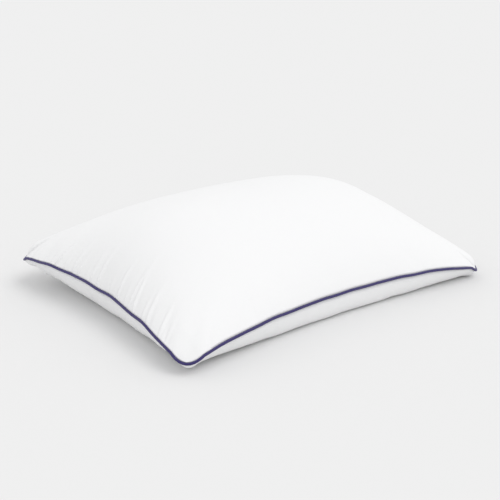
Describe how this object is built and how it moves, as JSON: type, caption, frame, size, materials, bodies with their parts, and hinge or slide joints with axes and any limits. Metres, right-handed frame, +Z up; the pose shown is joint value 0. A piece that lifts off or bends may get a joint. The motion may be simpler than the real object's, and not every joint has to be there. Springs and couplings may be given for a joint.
{
  "type": "bed pillow",
  "caption": "Rectangular bed pillow: two white cotton panels sewn round a dark corded piping over a soft fibre fill, lying on its flat side.",
  "frame": {"origin": "on the surface that the pillow lies on, under the middle of its outline", "axes": "+X along the long side, +Y along the short side towards the back, +Z up"},
  "size_m": [0.6118, 0.4718, 0.152],
  "materials": {
    "cotton_cover": "close plain-weave white cotton, matt with a faint sheen",
    "piping_cloth": "navy violet bias-cut cotton, matt",
    "cord_core": "soft twisted undyed cotton cord",
    "fibre_fill": "loose white polyester fibre",
    "sewing_thread": "white spun sewing thread",
    "label_satin": "white satin ribbon, unprinted"
  },
  "bodies": {
    "root": {"top_panel": "cotton_cover", "bottom_panel": "cotton_cover", "piping_cover": "piping_cloth", "piping_cord": "cord_core", "fibre_fill": "fibre_fill", "seam_needle_thread": "sewing_thread", "seam_bobbin_thread": "sewing_thread", "overlock_thread": "sewing_thread", "closing_thread": "sewing_thread", "care_label": "label_satin"}
  },
  "joints": []
}
